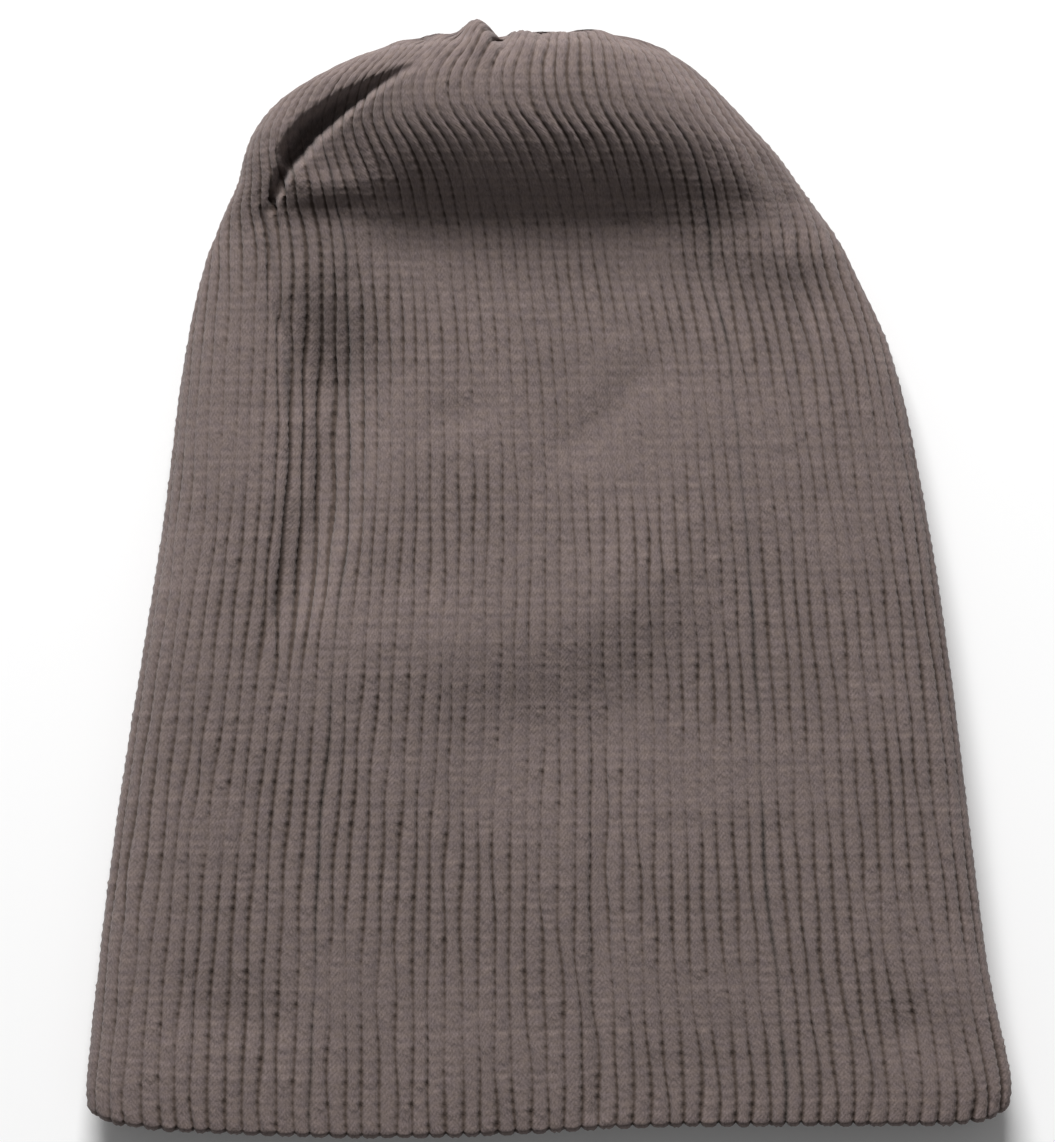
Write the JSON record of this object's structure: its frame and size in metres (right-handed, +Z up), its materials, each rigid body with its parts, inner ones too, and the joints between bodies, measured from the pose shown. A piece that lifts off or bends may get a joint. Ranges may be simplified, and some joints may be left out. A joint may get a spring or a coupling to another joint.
{
  "type": "knit beanie",
  "caption": "Long rib-knit beanie lying flat on its back, open at the hem, with its crown drawn together and puffed up.",
  "frame": {"origin": "on the surface the cap lies on, under the middle of its outline", "axes": "+X across the cap to the right seen from above, +Y from the hem towards the crown, +Z up from the surface"},
  "size_m": [0.22, 0.2653, 0.0328],
  "materials": {
    "rib_knit": "soft rib knit in grey-brown yarn",
    "yarn": "spun yarn, as the knit"
  },
  "bodies": {
    "root": {"knit_tube": "rib_knit", "closing_yarn": "yarn"}
  },
  "joints": []
}
